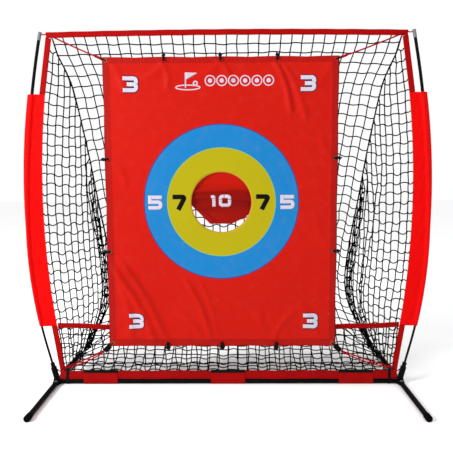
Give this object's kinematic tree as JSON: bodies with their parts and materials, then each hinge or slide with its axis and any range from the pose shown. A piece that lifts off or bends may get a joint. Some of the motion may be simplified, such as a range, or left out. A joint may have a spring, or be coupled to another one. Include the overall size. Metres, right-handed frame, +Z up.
{
  "type": "golf chipping net",
  "caption": "Bowed frame on folding steel feet holding an open-fronted black mesh bag and a hanging target sheet with a flap behind its round hole.",
  "frame": {"origin": "on the ground, midway between the two base corners and under the base tube's axis", "axes": "+X to the golfer's right along the base tube, +Y from the golfer into the net, +Z up"},
  "size_m": [1.7922, 0.81, 1.5591],
  "materials": {
    "black_steel": "satin black powder coat",
    "zinc_steel": "zinc plated",
    "black_fibreglass": "smooth pultruded rod",
    "ferrule_steel": "dull plated",
    "grey_plastic": "moulded cap",
    "black_plastic": "moulded hook",
    "black_rubber": "moulded foot",
    "net_cord": "knotted polyester netting",
    "black_cord": "braided cord",
    "red_fabric": "woven polyester",
    "red_webbing": "woven tape",
    "red_vinyl": "coated cloth with printed rings",
    "nickel": "pressed eyelet"
  },
  "bodies": {
    "frame": {"back_net": "net_cord", "base_spigot": "zinc_steel", "base_tube_left": "black_steel", "base_tube_right": "black_steel", "base_wraps": "red_fabric", "bottom_hem": "red_fabric", "corner_bracket_left": "black_steel", "corner_bracket_right": "black_steel", "edge_ties": "black_cord", "eyelets": "nickel", "flap_tape": "red_vinyl", "floor_net": "net_cord", "front_lip_net": "net_cord", "hem_anchor_loops": "black_cord", "lip_band": "red_fabric", "lower_pole_left": "black_fibreglass", "lower_pole_right": "black_fibreglass", "lower_straps": "red_webbing", "lower_tethers": "red_webbing", "middle_pole_left": "black_fibreglass", "middle_pole_right": "black_fibreglass", "pivot_bolts": "zinc_steel", "pivot_nuts": "zinc_steel", "pole_end_sleeves": "black_plastic", "pole_ferrules": "ferrule_steel", "pole_sleeve_left": "red_fabric", "pole_sleeve_right": "red_fabric", "pole_socket_left": "black_steel", "pole_socket_right": "black_steel", "rear_corner_hooks": "zinc_steel", "seam_cords": "black_cord", "shock_cords": "black_cord", "side_border_left": "red_fabric", "side_border_right": "red_fabric", "side_net_left": "net_cord", "side_net_right": "net_cord", "snap_button_spring": "zinc_steel", "spigot_rivet": "zinc_steel", "strap_hooks": "black_plastic", "target_sheet": "red_vinyl", "tip_caps": "grey_plastic", "tip_tethers": "red_webbing", "top_border": "red_fabric", "upper_pole_left": "black_fibreglass", "upper_pole_right": "black_fibreglass", "upper_straps": "red_webbing"},
    "front_left_leg": {"front_left_leg_tongue": "zinc_steel", "front_left_leg_tube": "black_steel", "front_left_leg_foot": "black_rubber"},
    "front_right_leg": {"front_right_leg_tongue": "zinc_steel", "front_right_leg_tube": "black_steel", "front_right_leg_foot": "black_rubber"},
    "rear_left_leg": {"rear_left_leg_tongue": "zinc_steel", "rear_left_leg_tube": "black_steel", "rear_left_leg_foot": "black_rubber"},
    "rear_right_leg": {"rear_right_leg_tongue": "zinc_steel", "rear_right_leg_tube": "black_steel", "rear_right_leg_foot": "black_rubber"},
    "target_flap": {"target_flap": "red_vinyl"},
    "snap_button": {"snap_button": "zinc_steel"}
  },
  "joints": [
    {"name": "front_left_leg_fold", "type": "hinge", "parent": "frame", "child": "front_left_leg", "pos_m": [-0.776, -0.032, 0.013], "axis": [0, 0, 1], "range_deg": [0, 90]},
    {"name": "front_right_leg_fold", "type": "hinge", "parent": "frame", "child": "front_right_leg", "pos_m": [0.776, -0.032, 0.013], "axis": [0, 0, 1], "range_deg": [-90, 0]},
    {"name": "rear_left_leg_fold", "type": "hinge", "parent": "frame", "child": "rear_left_leg", "pos_m": [-0.776, 0.032, 0.013], "axis": [0, 0, 1], "range_deg": [-90, 0]},
    {"name": "rear_right_leg_fold", "type": "hinge", "parent": "frame", "child": "rear_right_leg", "pos_m": [0.776, 0.032, 0.013], "axis": [0, 0, 1], "range_deg": [0, 90]},
    {"name": "flap_swing", "type": "hinge", "parent": "frame", "child": "target_flap", "pos_m": [-0.025, -0.0198, 0.963], "axis": [1, 0, 0], "range_deg": [0, 80]},
    {"name": "snap_button_press", "type": "slide", "parent": "frame", "child": "snap_button", "axis": [0, 1, 0], "range_m": [0, 0.0035], "stiffness_N_per_m": 400, "springref_m": -0.002, "deforming": ["snap_button_spring"]}
  ]
}
